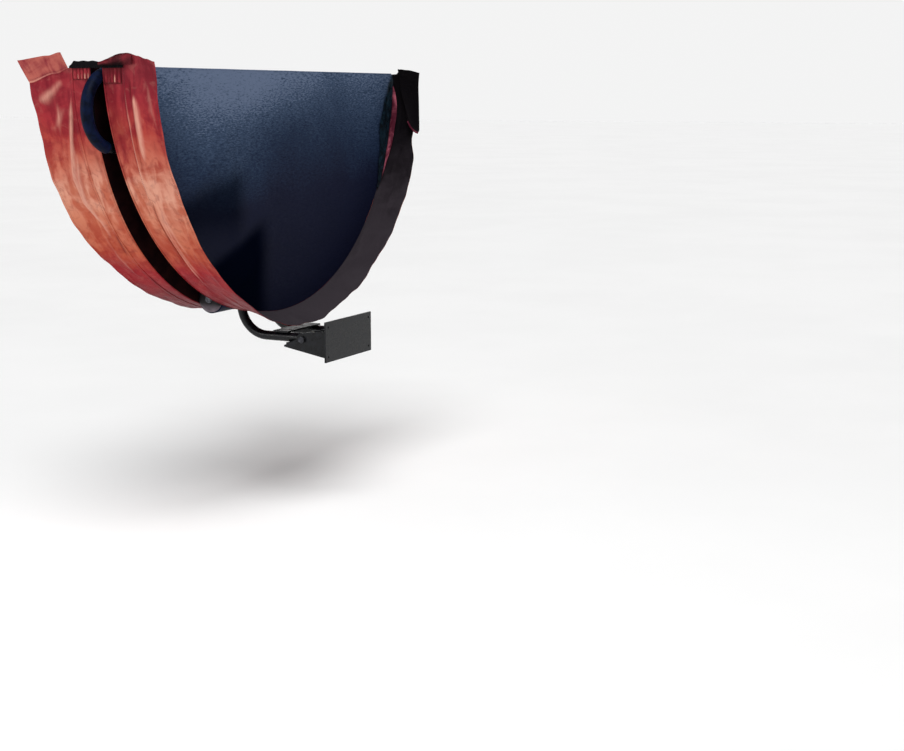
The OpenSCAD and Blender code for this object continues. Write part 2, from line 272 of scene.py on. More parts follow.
# where a skirt's two ends stop, above the fold, as (width in mm, mm) knots
LEFT_END = {
    "near": [(90, 8), (113, 20), (128, 36), (150, 35), (172, 30), (210, 20), (244, 11)],
    "far": [(90, 0), (113, -5), (160, -21), (244, -50)],
}
RIGHT_END = {
    "near": [(90, -6), (134, -4), (152, 16), (180, 13), (244, 2)],
    "far": [(90, 0), (113, -6), (170, -16), (244, -26)],
}


def relief(half, angle, width):
    """How far the cloth stands off its plain shape because of creases."""
    arc, width = np.broadcast_arrays(RADIUS * angle, width)
    total = np.zeros(arc.shape)
    for line, height, spread in CREASES[half.name]:
        total += crease(arc, width, line, height, spread)
    swell = np.sin(arc * 23.0 + width * 31.0 + 2.0) * np.sin(arc * 9.0 - width * 17.0)
    return total + 0.9 * MM * swell


# ---- mesh building ----

def grid_faces(rows, cols, first=0):
    i = np.arange(rows - 1)[:, None]
    j = np.arange(cols - 1)[None, :]
    a = first + i * cols + j
    return np.stack([a, a + cols, a + cols + 1, a + 1], -1).reshape(-1, 4)


def unit(way):
    """Each way at a length of 1."""
    return way / np.maximum(np.linalg.norm(way, axis=-1, keepdims=True), 1e-12)


def tube_faces(rings, sides):
    """Faces of a closed tube whose points come ring by ring, with its two end caps."""
    side = np.arange(sides)
    first = sides * np.arange(rings - 1)[:, None]
    a = first + side
    b = first + np.roll(side, -1)
    walls = np.stack([a, b, b + sides, a + sides], -1).reshape(-1, 4)
    return [*walls.tolist(), side[::-1].tolist(), (side + sides * (rings - 1)).tolist()]


def copies(faces, corners, count):
    """The faces of many copies of a small solid that has a number of corners."""
    return (np.array(faces)[None] + corners * np.arange(count)[:, None, None]).reshape(-1, 4)


def grid_normals(points):
    return unit(np.cross(np.gradient(points, axis=0), np.gradient(points, axis=1)))


def put_in_scene(name, data):
    made = bpy.data.objects.new(name, data)
    bpy.context.scene.collection.objects.link(made)
    return made


def build(name, points, faces, looks, face_look=None, sharp=40.0, values=None):
    """A mesh object from points, faces and materials."""
    mesh = bpy.data.meshes.new(name)
    mesh.from_pydata(np.asarray(points).tolist(), [], [list(map(int, f)) for f in faces])
    for look in looks:
        mesh.materials.append(look)
    if face_look is not None:
        mesh.polygons.foreach_set("material_index", np.asarray(face_look, np.int32))
    mesh.polygons.foreach_set("use_smooth", np.ones(len(mesh.polygons), bool))
    mesh.set_sharp_from_angle(angle=sharp * DEG)
    for key, value in (values or {}).items():
        kind, field = ("FLOAT", "value") if value.ndim == 1 else ("FLOAT_VECTOR", "vector")
        mesh.attributes.new(key, kind, "POINT").data.foreach_set(field, np.float32(value).ravel())
    mesh.update()
    return put_in_scene(name, mesh)


def cloth_place(front):
    """Where each point of a sheet is on its own cloth: metres along its rows and its columns, and
    a value that gives the two halves different marbling."""
    along = running(np.linalg.norm(np.diff(front, axis=0), axis=-1).mean(1))
    across = running(np.linalg.norm(np.diff(front, axis=1), axis=-1).mean(0))
    apart = 9.0 * np.sign(front[0, 0, 1] - FOLD[1])
    return np.stack(np.broadcast_arrays(along[:, None], across, apart), -1)


def shell(name, front, thickness, outward, looks, edge_look=0, **marks):
    """A closed sheet from a grid of points on its outer side. outward points away from the
    sheet on that side. The first material is outside and the last inside; edge_look says which
    is on the cut edge. marks are values at each point: the crease height, painted shade and
    painted light."""
    rows, cols = front.shape[:2]
    marks = {key: np.broadcast_to(mark, (rows, cols)) for key, mark in marks.items()}
    normal = grid_normals(front)
    if np.sum(normal * outward) < 0:
        front = front[:, ::-1]
        marks = {key: mark[:, ::-1] for key, mark in marks.items()}
        normal = grid_normals(front)
    count = rows * cols
    back = front - normal * thickness
    outer = grid_faces(rows, cols)
    inner = grid_faces(rows, cols, count)[:, ::-1]
    index = np.arange(count).reshape(rows, cols)
    ring = np.concatenate([index[:, 0], index[-1, 1:], index[-2::-1, -1], index[0, -2:0:-1]])
    after = np.roll(ring, -1)
    edge = np.stack([after, ring, ring + count, after + count], -1)
    points = np.concatenate([front.reshape(-1, 3), back.reshape(-1, 3)])
    faces = np.concatenate([outer, inner, edge])
    look = np.repeat([0, len(looks) - 1, edge_look], [len(outer), len(inner), len(edge)])
    cloth = cloth_place(front).reshape(-1, 3)
    values = {key: np.tile(mark.ravel(), 2) for key, mark in marks.items()}
    values["cloth"] = np.concatenate([cloth, cloth])
    return build(name, points, faces, looks, look, values=values)


CORD_SIDES = 8


def sweep(name, path, radius, look, **marks):
    """A closed round cord of cloth along a path, such as piping, with marks along the path."""
    tangent = unit(np.gradient(path, axis=0))
    across = unit(np.cross(tangent, [0.0, 1.0, 0.03]))
    up = np.cross(across, tangent)
    turn = np.linspace(0, 2 * math.pi, CORD_SIDES, endpoint=False)[None, :, None]
    rings = path[:, None] + radius * (np.cos(turn) * across[:, None] + np.sin(turn) * up[:, None])
    count = len(path)
    marks = {key: np.repeat(np.broadcast_to(mark, (count,)), CORD_SIDES) for key, mark in marks.items()}
    return build(name, rings.reshape(-1, 3), tube_faces(count, CORD_SIDES), [look], values=marks)


STITCH_THICK = 0.5 * MM


def stitches(name, path, normal, pitch=6.5 * MM, length=4.4 * MM):
    """A row of sewn stitches along a path: each is a short thread with tapered ends."""
    reached = running(np.linalg.norm(np.diff(path, axis=0), axis=1))
    middles = np.arange(pitch, reached[-1] - pitch, pitch)

    def pick(at, data):
        return np.stack([np.interp(at, reached, column) for column in data.T], -1)

    centre = pick(middles, path)
    along = pick(middles + length / 2, path) - pick(middles - length / 2, path)
    out = unit(pick(middles, normal))
    side = unit(np.cross(along, out))
    rings = []
    for place, size in ((-0.5, 0.25), (-0.3, 1.0), (0.3, 1.0), (0.5, 0.25)):
        heart = centre + place * along + out * STITCH_THICK * (0.9 if size == 1.0 else 0.1)
        for s, o in ((1, 0), (0, 1), (-1, 0), (0, -1)):
            rings.append(heart + STITCH_THICK * size * (s * side + o * out))
    points = np.stack(rings, 1).reshape(-1, 3)
    faces = copies(tube_faces(4, 4), 16, len(middles))
    return build(name, points, faces, [THREAD], sharp=80.0)


def sew(half, name, points, row, outward, **sizes):
    """Stitches along one row of a sheet's grid, on the side that outward points to."""
    normal = grid_normals(points)
    normal = normal[row] * np.sign(np.sum(normal * outward))
    return belongs(stitches(name, points[row], normal, **sizes), half.body, "vinyl")


def belongs(piece, body, slot, *nodes):
    """Makes a piece ride on a body and stand for CAD nodes. Its slot is not used."""
    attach(piece, body)
    if nodes:
        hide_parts(*nodes)
    return piece


# ---- materials ----

def rgb(red, green, blue):
    """A colour given as screen values from 0 to 255."""
    levels = [c / 255 for c in (red, green, blue)]
    linear = [c / 12.92 if c < 0.04045 else ((c + 0.055) / 1.055) ** 2.4 for c in levels]
    return (*linear, 1.0)


class Nodes:
    """A node tree being made. Most methods add a node and return its output."""

    def __init__(self, owner, coordinates):
        owner.use_nodes = True
        self.tree = owner.node_tree
        self.place = self.node("ShaderNodeTexCoord").outputs[coordinates]

    def node(self, kind, inputs=None, **settings):
        """A new node, with its settings made and its inputs fed."""
        made = self.tree.nodes.new(kind)
        for key, value in settings.items():
            setattr(made, key, value)
        for key, value in (inputs or {}).items():
            self.feed(made.inputs[key], value)
        return made

    def feed(self, socket, value):
        """Links an output into a socket, or sets it to a number or to a tuple's colour."""
        if isinstance(value, bpy.types.NodeSocket):
            self.tree.links.new(value, socket)
        else:
            socket.default_value = rgb(*value) if isinstance(value, tuple) else value

    def stretch(self, x, y, z, place=None):
        inputs = {"Vector": place or self.place, "Scale": Vector((x, y, z))}
        return self.node("ShaderNodeMapping", inputs).outputs[0]

    def cloth(self, along, across):
        """The sheet's own coordinates, stretched."""
        made = self.node("ShaderNodeAttribute", attribute_name="cloth")
        return self.stretch(along, across, 1.0, made.outputs["Vector"])

    def ramp(self, value, tones):
        """Colours along a value from 0 to 1, as (place, colour) stops."""
        made = self.node("ShaderNodeValToRGB", {0: value})
        stops = made.color_ramp.elements
        for stop, (place, tone) in zip((stops[0], stops[1]), (tones[0], tones[-1])):
            stop.position = place
            stop.color = rgb(*tone)
        for place, tone in tones[1:-1]:
            stops.new(place).color = rgb(*tone)
        return made.outputs[0]

    def noise(self, scale, detail=4.0, rough=0.55, twist=0.0, place=None):
        inputs = {"Scale": scale, "Detail": detail, "Roughness": rough, "Distortion": twist}
        inputs["Vector"] = place or self.place
        return self.node("ShaderNodeTexNoise", inputs).outputs[0]

    def cells(self, scale):
        return self.node("ShaderNodeTexVoronoi", {"Vector": self.place, "Scale": scale}).outputs[0]

    def waves(self, scale, axis, twist=0.0):
        inputs = {"Vector": self.place, "Scale": scale, "Distortion": twist}
        return self.node("ShaderNodeTexWave", inputs, bands_direction=axis).outputs[1]

    def value(self, name):
        """One of the mesh's marks: the crease height, painted shade or painted light."""
        return self.node("ShaderNodeAttribute", attribute_name=name).outputs["Fac"]

    def height(self):
        """How far up the place or the direction is."""
        return self.node("ShaderNodeSeparateXYZ", {0: self.place}).outputs["Z"]

    def depth(self):
        """0 at the fold, and 1 at the bottom of the cover."""
        return self.sum(self.times(self.height(), -1.0 / RADIUS), FOLD[2] / RADIUS)

    def fit(self, value, low, high, to_low=0.0, to_high=1.0):
        inputs = dict(enumerate((value, low, high, to_low, to_high)))
        return self.node("ShaderNodeMapRange", inputs, interpolation_type="SMOOTHSTEP").outputs[0]

    def spread(self, noise, to_low=0.0, to_high=1.0):
        """A noise's usual range, fitted to another."""
        return self.fit(noise, 0.3, 0.7, to_low, to_high)

    def sum(self, a, b, how="ADD"):
        return self.node("ShaderNodeMath", {0: a, 1: b}, operation=how).outputs[0]

    def times(self, a, b):
        return self.sum(a, b, "MULTIPLY")

    def swing(self, noise, size):
        """A noise that swings to both sides of zero."""
        return self.times(self.sum(noise, -0.5), size)

    def mix(self, share, a, b):
        """A blend of two colours, which are sockets 6, 7 and 2 of its node."""
        return self.node("ShaderNodeMix", {0: share, 6: a, 7: b}, data_type="RGBA").outputs[2]

    def bump(self, height, depth, under=None):
        inputs = {"Height": height, "Distance": depth, "Strength": 1.0}
        if under is not None:
            inputs["Normal"] = under
        return self.node("ShaderNodeBump", inputs).outputs[0]


class Look(Nodes):
    """A material being made."""

    def __init__(self, name, gloss=0.5, metal=0.0):
        self.material = bpy.data.materials.new(name)
        super().__init__(self.material, "Object")
        self.shader = self.tree.nodes["Principled BSDF"].inputs
        self.feed(self.shader["Specular IOR Level"], gloss)
        self.feed(self.shader["Metallic"], metal)

    def done(self, colour, rough, normal):
        self.feed(self.shader["Base Color"], colour)
        self.feed(self.shader["Roughness"], rough)
        self.feed(self.shader["Normal"], normal)
        return self.material


# tones of the marbled vinyl from the fold (0) down to the bottom (1): its dark and its pale veins.
# Their change with depth is painted light: maroon in shade by the fold, tan where light is painted
# on the middle of the band, and deep red low down
DARK_VEINS_AND_DEPTH_LIGHT = [
    (0.0, (102, 28, 38)), (0.15, (128, 34, 44)), (0.25, (140, 42, 46)), (0.36, (156, 64, 54)),
    (0.46, (182, 102, 80)), (0.58, (178, 88, 66)), (0.7, (160, 62, 46)), (0.79, (140, 32, 38)),
    (0.9, (108, 28, 34)), (1.0, (90, 26, 32)),
]
PALE_VEINS_AND_DEPTH_LIGHT = [
    (0.0, (132, 44, 52)), (0.15, (150, 46, 52)), (0.25, (166, 66, 58)), (0.36, (188, 106, 86)),
    (0.46, (210, 150, 128)), (0.58, (198, 122, 96)), (0.7, (182, 90, 66)), (0.79, (156, 42, 46)),
    (0.9, (124, 38, 44)), (1.0, (106, 34, 40)),
]
# the top skins' vinyl: the cover's vinyl painted much darker, as shade in the gap between the halves
INNER_SHADED_DARK = [(0.0, (58, 18, 24)), (0.8, (66, 24, 28)), (1.0, (52, 18, 24))]
INNER_SHADED_PALE = [(0.0, (88, 34, 38)), (0.8, (108, 52, 48)), (1.0, (84, 36, 38))]


def one_tone(red, green, blue):
    """A ramp with the same colour all the way."""
    return [(0.0, (red, green, blue)), (1.0, (red, green, blue))]


def vinyl_look(name, dark, pale, wear_and_highlight_tone=(208, 152, 134), banded=True):
    """Marbled leather-like vinyl with a pebble grain. Its raised crests are pale, partly from wear and
    partly as painted highlight; its crease valleys and the places marked for it take painted shade,
    and its ramps paint light where they change with depth. Its streaks run along a band, or every
    way on a flat skin."""
    look = Look(name, gloss=0.02)
    depth = look.sum(look.depth(), look.swing(look.noise(6.0, 4.0, 0.55, 0.5), 0.2))
    clouds = look.noise(11.0, 4.0, 0.55, 0.9)
    streak_place = look.cloth(7.0, 30.0) if banded else look.stretch(9.0, 9.0, 14.0)
    streaks = look.noise(1.0, 3.0, 0.5, 0.9, streak_place)
    veins = look.fit(look.sum(clouds, look.swing(streaks, 0.8)), 0.34, 0.68)
    # colour by depth below the fold: the ramps' change with depth is painted light
    colour = look.mix(veins, look.ramp(depth, dark), look.ramp(depth, pale))
    rubbed = look.noise(32.0, 4.0, 0.6, 0.6)
    colour = look.mix(look.fit(rubbed, 0.3, 0.5, 0.3, 0.0), colour, dark[0][1])
    colour = look.mix(look.fit(rubbed, 0.52, 0.72, 0.0, 0.09), colour, wear_and_highlight_tone)
    raised = look.value("raised")
    scuffs = look.noise(1.0, 6.0, 0.7, 0.2, look.cloth(16.0, 150.0) if banded else None)
    # painted highlight, partly wear: raised crests are lightened towards the pale tone
    wear_and_highlight = look.times(look.fit(raised, 0.002, 0.0075, 0.0, 0.85), look.fit(scuffs, 0.28, 0.6, 0.5, 1.0))
    colour = look.mix(wear_and_highlight, colour, wear_and_highlight_tone)
    # painted shade: the vinyl is darkened in crease valleys
    crease_shade = look.fit(raised, -0.0034, -0.0006, 0.55, 0.0)
    colour = look.mix(crease_shade, colour, (72, 18, 22))
    # painted shade: near black where the mesh is marked with it
    colour = look.mix(look.value("soiled"), colour, (9, 6, 8))
    grain = look.sum(look.cells(620.0), look.noise(240.0, 3.0))
    soft = look.bump(look.noise(34.0, 4.0, 0.5), 1.2 * MM)
    rough = look.spread(clouds, 0.3, 0.44)
    return look.done(colour, rough, look.bump(grain, 0.22 * MM, soft))


def weave_height(look, pitch):
    """Threads over and under, with a pitch in metres, in the X and Z directions."""
    count = 1.0 / pitch / 20.0 * 2.0 * math.pi
    return look.sum(look.waves(count, "X", 0.6), look.waves(count, "Z", 0.6), "MAXIMUM")


# the liner's tones along its painted light, from navy in shade to slate where light is painted
LINER_TONES = [
    (0.0, (13, 16, 35)), (0.3, (17, 21, 41)), (0.55, (29, 42, 64)), (0.8, (56, 71, 94)),
    (1.0, (90, 103, 127)),
]
# the backing's tones from the fold (0) to the bottom (1): painted light, black high up, grey low
BACKING_TONES = [
    (0.0, (3, 2, 3)), (0.25, (7, 5, 8)), (0.4, (24, 20, 24)), (0.6, (46, 41, 46)),
    (1.0, (56, 51, 56)),
]


def liner_look():
    """Coated woven fabric with painted light: deep navy where shade is painted and pale slate where
    light is painted, broken by the weave's flecks into a painted streaky sheen, and near black without
    sheen under painted shadow.
    """
    look = Look("liner_fabric")
    flecks = look.noise(150.0, 5.0, 0.75, 0.2, look.stretch(0.42, 1.0, 1.5))
    broad = look.noise(3.4, 3.0, 0.5, 0.3)
    faded = look.sum(look.value("faded"), look.swing(broad, 0.3))
    # the flecks break the painted light into a painted streaky sheen
    faded = look.times(faded, look.fit(flecks, 0.25, 0.75, 0.72, 1.3))
    colour = look.ramp(faded, LINER_TONES)
    colour = look.mix(look.fit(flecks, 0.26, 0.46, 0.5, 0.0), colour, (9, 13, 26))
    soiled = look.value("soiled")
    # painted shadow: near black, with no sheen under it
    colour = look.mix(soiled, colour, (1, 3, 12))
    look.feed(look.shader["Specular IOR Level"], look.fit(soiled, 0.0, 1.0, 0.04, 0.0))
    bumps = look.bump(weave_height(look, 1.6 * MM), 0.25 * MM)
    normal = look.bump(flecks, 0.35 * MM, bumps)
    return look.done(colour, look.spread(flecks, 0.62, 0.46), normal)


def backing_look():
    """Black knitted backing of the skirts, with painted light: near black high up, and lighter grey
    towards the bottom.
    """
    look = Look("skirt_backing", gloss=0.03)
    threads = weave_height(look, 1.4 * MM)
    cloud = look.noise(13.0, 5.0, 0.6, 0.6)
    colour = look.ramp(look.sum(look.depth(), look.swing(cloud, 0.5)), BACKING_TONES)
    colour = look.mix(look.times(threads, 0.16), colour, (36, 32, 36))
    normal = look.bump(threads, 0.3 * MM, look.bump(look.noise(40.0, 4.0), 1.0 * MM))
    return look.done(colour, look.spread(cloud, 0.5, 0.68), normal)


def crumple_look():
    """Slack liner cloth painted dark as shade, slightly glossy, with a teal cast."""
    look = Look("slack_liner", gloss=0.05)
    cloud = look.noise(38.0, 6.0, 0.65, 1.0)
    colour = look.mix(look.fit(cloud, 0.35, 0.65), (1, 3, 7), (9, 26, 36))
    return look.done(colour, look.spread(cloud, 0.3, 0.5), look.bump(cloud, 3.0 * MM))


def webbing_look():
    look = Look("black_webbing", gloss=0.05)
    ribs = look.waves(110.0, "Y", 0.4)
    colour = look.mix(look.times(ribs, look.noise(60.0)), (5, 5, 6), (22, 19, 22))
    return look.done(colour, look.spread(look.noise(90.0), 0.55, 0.75), look.bump(ribs, 0.4 * MM))


def thread_look():
    look = Look("sewing_thread", gloss=0.4)
    fibre = look.noise(900.0, 3.0, 0.6)
    colour = look.mix(look.spread(fibre), (58, 18, 24), (122, 52, 56))
    return look.done(colour, look.spread(fibre, 0.45, 0.65), look.bump(fibre, 0.15 * MM))


def tube_look():
    """Glossy black paint on steel tube, with dust and fine scuffs."""
    look = Look("black_paint", gloss=0.22)
    dust = look.noise(45.0, 6.0, 0.7)
    scuff = look.noise(60.0, 8.0, 0.75, 0.0, look.stretch(0.15, 1.0, 1.0))
    colour = look.mix(look.fit(dust, 0.42, 0.74, 0.0, 0.6), (6, 7, 10), (24, 26, 32))
    colour = look.mix(look.fit(scuff, 0.66, 0.74, 0.0, 0.5), colour, (84, 86, 92))
    rough = look.sum(look.spread(dust, 0.2, 0.42), look.fit(scuff, 0.62, 0.74, 0.0, 0.2))
    return look.done(colour, rough, look.bump(look.noise(420.0, 2.0), 0.06 * MM))


def grip_look():
    """Navy-black closed-cell foam, with pores and a slight sheen."""
    look = Look("grip_foam", gloss=0.05)
    pores = look.cells(520.0)
    blotch = look.noise(28.0, 5.0, 0.6)
    colour = look.mix(look.spread(blotch), (4, 8, 20), (10, 22, 50))
    colour = look.mix(look.fit(pores, 0.0, 0.32, 0.5, 0.0), colour, (5, 6, 10))
    return look.done(colour, look.spread(blotch, 0.36, 0.55), look.bump(pores, 0.25 * MM))


def plastic_look(name, dark, light, low_rough):
    look = Look(name, gloss=0.3)
    cloud = look.noise(36.0, 5.0, 0.6)
    speck = look.cells(700.0)
    scuff = look.noise(130.0, 8.0, 0.8, 0.3)
    colour = look.mix(look.spread(cloud), dark, light)
    colour = look.mix(look.fit(scuff, 0.6, 0.72, 0.0, 0.35), colour, dark)
    rough = look.spread(cloud, low_rough, low_rough + 0.2)
    return look.done(colour, rough, look.bump(speck, 0.1 * MM))


def cap_look():
    """Grey plastic of the rollers' caps, with painted shade: near black above a set height, and
    grey below it.
    """
    look = Look("grey_plastic", gloss=0.15)
    cloud = look.noise(36.0, 5.0, 0.6)
    # painted shade above, and the lit grey below
    lit_below = look.fit(look.sum(look.height(), look.swing(cloud, 0.02)), 0.116, 0.142, 1.0, 0.0)
    colour = look.mix(look.spread(cloud), (84, 75, 82), (116, 106, 113))
    colour = look.mix(lit_below, (16, 13, 15), colour)
    return look.done(colour, look.spread(cloud, 0.4, 0.6), look.bump(look.cells(700.0), 0.1 * MM))


def zinc_look():
    """Zinc-plated steel, with drawn lines and a mottled bloom."""
    look = Look("zinc_plate", metal=1.0)
    bloom = look.noise(85.0, 6.0, 0.65, 0.4)
    lines = look.noise(260.0, 3.0, 0.6, 0.0, look.stretch(0.05, 1.0, 1.0))
    colour = look.mix(look.spread(bloom), (46, 46, 50), (92, 93, 98))
    return look.done(colour, look.spread(bloom, 0.3, 0.5), look.bump(lines, 0.05 * MM))


def foam_look():
    """Expanded polystyrene beads."""
    look = Look("bead_foam", gloss=0.3)
    beads = look.cells(260.0)
    colour = look.mix(look.fit(beads, 0.1, 0.6), (240, 240, 234), (206, 206, 198))
    return look.done(colour, look.fit(beads, 0.1, 0.6, 0.7, 0.85), look.bump(beads, -0.5 * MM))


def film_look():
    """Clear vapour film, milky where it creases."""
    look = Look("vapour_film", gloss=0.6)
    folds = look.noise(24.0, 8.0, 0.7, 1.2)
    colour = look.mix(look.fit(folds, 0.35, 0.65), (196, 206, 214), (232, 238, 242))
    return look.done(colour, look.spread(folds, 0.12, 0.3), look.bump(folds, 1.5 * MM))


def floor_look():
    look = Look("studio_floor", gloss=0.05)
    cloud = look.noise(0.7, 5.0, 0.6)
    colour = look.mix(look.spread(cloud), (250, 250, 250), (253, 253, 253))
    return look.done(colour, look.spread(cloud, 0.85, 0.95), look.bump(cloud, 0.2 * MM))


VINYL = vinyl_look("cover_vinyl", DARK_VEINS_AND_DEPTH_LIGHT, PALE_VEINS_AND_DEPTH_LIGHT)
SHADED_TOP_VINYL = vinyl_look("inner_vinyl", INNER_SHADED_DARK, INNER_SHADED_PALE, (70, 40, 40), banded=False)
FLAP_VINYL = vinyl_look("flap_vinyl", one_tone(130, 46, 54), one_tone(172, 92, 82))
# curled hems: the cover's red vinyl painted pale pink as a highlight
LIT_HEM_VINYL = vinyl_look("hem_vinyl", one_tone(66, 20, 34), one_tone(158, 82, 98), (206, 136, 148))
ROLL_VINYL = vinyl_look("roll_vinyl", one_tone(62, 18, 24), one_tone(112, 36, 44))
LINER = liner_look()
BACKING = backing_look()
SHADED_CRUMPLE = crumple_look()
WEBBING = webbing_look()
THREAD = thread_look()
FLOOR = floor_look()
SLOT_LOOKS = {
    "vinyl": VINYL,
    "liner": LINER,
    "foam": foam_look(),
    "vapour_film": film_look(),
    "zip_tape": WEBBING,
    "black_tube": tube_look(),
    "foam_grip": grip_look(),
    "grey_plastic": cap_look(),
    "zinc_steel": zinc_look(),
    "nylon": plastic_look("white_nylon", (204, 200, 188), (226, 224, 214), 0.4),
    "rubber_pad": plastic_look("black_rubber", (14, 14, 15), (34, 34, 36), 0.6),
}


def paint_cad_nodes():
    """Gives each CAD node that stays in view its slot's material."""
    for part in frame["record"]["subparts"]:
        node = frame["nodes"][part["node"]]
        look = SLOT_LOOKS[part["material_slot"]]
        if not node.material_slots:
            node.data.materials.append(look)
        for slot in node.material_slots:
            slot.material = look


# ---- the camera, the light and the floor ----

# the camera's place from the fold's middle, its angles in degrees, and its lens in mm
CAMERA_PLACE = (-4.997, -3.298, -0.099)
CAMERA_DOWN = 10.18
CAMERA_TURN = 63.82
LENS = 61.75
# strength of the light from all round: low down, and from above
WALL_LIGHT = 0.9
CEILING_LIGHT = 0.26
# the way the overhead light shines, its power, and its spread in degrees
SUN_WAY = (0.42, 0.30, -0.86)
SUN_POWER = 2.3
SUN_SPREAD = 42.0
WARM_WHITE = (1.0, 0.98, 0.96)
WHITE = (1.0, 1.0, 1.0)


def make_camera():
    """The photograph's view: from the fold's -X end and the tub's side, looking a little down."""
    camera = put_in_scene("camera", bpy.data.cameras.new("camera"))
    camera.location = FOLD + CAMERA_PLACE
    camera.rotation_euler = ((90.0 - CAMERA_DOWN) * DEG, 0.0, -CAMERA_TURN * DEG)
    camera.data.lens = LENS
    camera.data.sensor_width = 36.0
    camera.data.clip_end = 400.0
    bpy.context.scene.camera = camera


def shine(light, way):
    light.rotation_euler = Vector(way).to_track_quat("-Z", "Y").to_euler()


def soft_light(name, place, target, size, power, tint):
    """A rectangle of light at a place, aimed at a target, both from the fold's middle."""
    data = bpy.data.lights.new(name, "AREA")
    data.shape = "RECTANGLE"
    data.size, data.size_y = size
    data.energy = power
    data.color = tint
    made = put_in_scene(name, data)
    made.location = FOLD + place
    shine(made, np.array(target) - place)


def make_world():
    """A pale wall of light low down, with a dimmer ceiling."""
    world = bpy.data.worlds.new("studio")
    bpy.context.scene.world = world
    nodes = Nodes(world, "Generated")
    strength = nodes.fit(nodes.height(), 0.06, 0.42, WALL_LIGHT, CEILING_LIGHT)
    background = nodes.tree.nodes["Background"].inputs
    nodes.feed(background["Color"], (255, 255, 255))
    nodes.feed(background["Strength"], strength)


def make_studio():
    make_world()
    sun = bpy.data.lights.new("overhead", "SUN")
    sun.energy = SUN_POWER
    sun.angle = SUN_SPREAD * DEG
    shine(put_in_scene("overhead", sun), SUN_WAY)
    soft_light("key", (-1.9, -2.1, 1.3), (-0.35, -0.1, -0.25), (1.0, 1.0), 16.0, WARM_WHITE)
    soft_light("edge_strip", (-3.2, 1.9, 0.1), (-0.9, -0.1, -0.4), (0.5, 1.8), 26.0, WHITE)
    bpy.context.scene.view_settings.view_transform = "Standard"
    bpy.context.scene.view_settings.look = "None"


def make_floor():
    reach = 90.0
    count = 61
    grid = np.broadcast_arrays(down(-reach, reach, count), over(-reach, reach, count), -FLOOR_DROP)
    points = np.stack(grid, -1).reshape(-1, 3)
    floor = build("studio_floor", points, grid_faces(count, count)[:, ::-1], [FLOOR])


# ---- one half's skins ----

def cover_cloth(half, name, front, thickness, outward, look=VINYL, slot="vinyl", node=None, **marks):
    """A sheet with a black backing that rides on a half and may stand for one of its CAD nodes."""
    piece = shell(f"{half.name}_{name}", front, thickness, outward, [look, BACKING], **marks)
    return belongs(piece, half.body, slot, *([f"{half.name}_{node}"] if node else []))


def skin_grid():
    """A half disc as a grid of (x, depth) places, closer together near the rim."""
    share = down(0.0002, 1.0, 64) ** 0.75
    turn = over(0.0, math.pi, 300)
    reach = -BUTT * np.sin(turn) + np.sqrt(RADIUS ** 2 - (BUTT * np.cos(turn)) ** 2)
    reach = (reach - SKIN) * share
    return -reach * np.cos(turn), BUTT + reach * np.sin(turn)


def seam_pucker(x, depth, count):
    """Small ripples that run in from the round seam."""
    radius = np.hypot(x, depth)
    turn = np.arctan2(depth, x)
    inward = np.clip((RADIUS - radius) / 0.055, 0.0, 1.0)
    swing = np.sin(count * turn + 2.0 * np.sin(9.0 * turn)) * np.sin(0.37 * count * turn + 1.0)
    return ease(inward * 4.0) * (1.0 - inward) ** 2 * swing


def plain_skin(half, kind, width, bulge, shade_mask, look, seed):
    """A top or underside skin, with painted shade, and on the underside painted light too. width
    gives the plain face, bulge stands outside it, and the function after it gives the mask of
    painted shade."""
    x, depth = skin_grid()
    slot, outside = ("liner", 1.0) if kind == "underside_liner" else ("vinyl", -1.0)
    face = width(depth) + outside * bulge(x, depth, seed)
    points = from_fold(x, half.sign * face, -depth)
    outward = (0.0, half.sign * outside, 0.0)
    piece = cover_cloth(half, f"{kind}_cloth", points, 0.9 * SKIN, outward, look, slot, kind,
                        soiled=shade_mask(x, -depth), faded=painted_liner_light(x, -depth))


def top_rim_shade(x, z):
    """Painted shade: a top skin is painted dark along its rim, where it lies in the shaded gap
    between the halves.
    """
    return 0.9 * ease((np.hypot(x, z) - RADIUS + 0.2) / 0.14)


def no_shade(x, z):
    return np.zeros(x.shape)


def skirt_shadow_paint(x, z):
    """Painted shadow: two places on the near liner, beside the skirt, painted dark as the skirt's
    shadow.
    """
    upper_line = -0.31 + 0.22 * (x + 0.24)
    upper = 0.7 * ease((upper_line - z) / 0.1) * ease((-0.18 - x) / 0.14)
    upper = upper * (1.0 - 0.7 * ease((-0.5 - z) / 0.14))
    lower_line = -0.51 + 0.39 * (x + 0.11)
    lower = 0.93 * ease((lower_line - z) / 0.08) * ease((-0.04 - x) / 0.14)
    return np.maximum(upper, lower)


def painted_liner_light(x, z):
    """Painted light on the liner, from 0 low down to about 1 beside the fold at the -X end, with a
    painted pool of light and a painted glare, both towards the -X end.
    """
    light_pool = 0.2 * np.exp(-((x + 0.4) / 0.28) ** 2) * ease((z + 0.62) / 0.2)
    glare = 0.16 * np.exp(-((x + 0.15) / 0.32) ** 2) * ease((z + 0.24) / 0.2)
    return 0.8 + 1.3 * (z + 0.05) + light_pool + glare


def top_bulge(x, depth, seed):
    """The top skin is tight, with a slow swell and puckers at its seam."""
    swell = 1.0 + np.sin(5.0 * x + seed) * np.cos(6.0 * depth + 2.0 * seed)
    clear = ease((depth - 0.05) / 0.12)
    return MM * (0.9 * swell * clear + 0.5 * (1.0 + seam_pucker(x, depth, 150.0)) * clear)


# soft folds of the liner, as (start, end, height in mm, spread in mm)
LINER_FOLDS = (
    ((-0.62, -0.50), (-0.34, -0.22), 9.0, 70.0),
    ((-0.36, -0.26), (-0.26, -0.74), 7.0, 60.0),
    ((-0.30, -0.80), (-0.04, -0.58), 8.0, 60.0),
    ((0.05, -0.10), (0.45, -0.36), 3.0, 50.0),
)


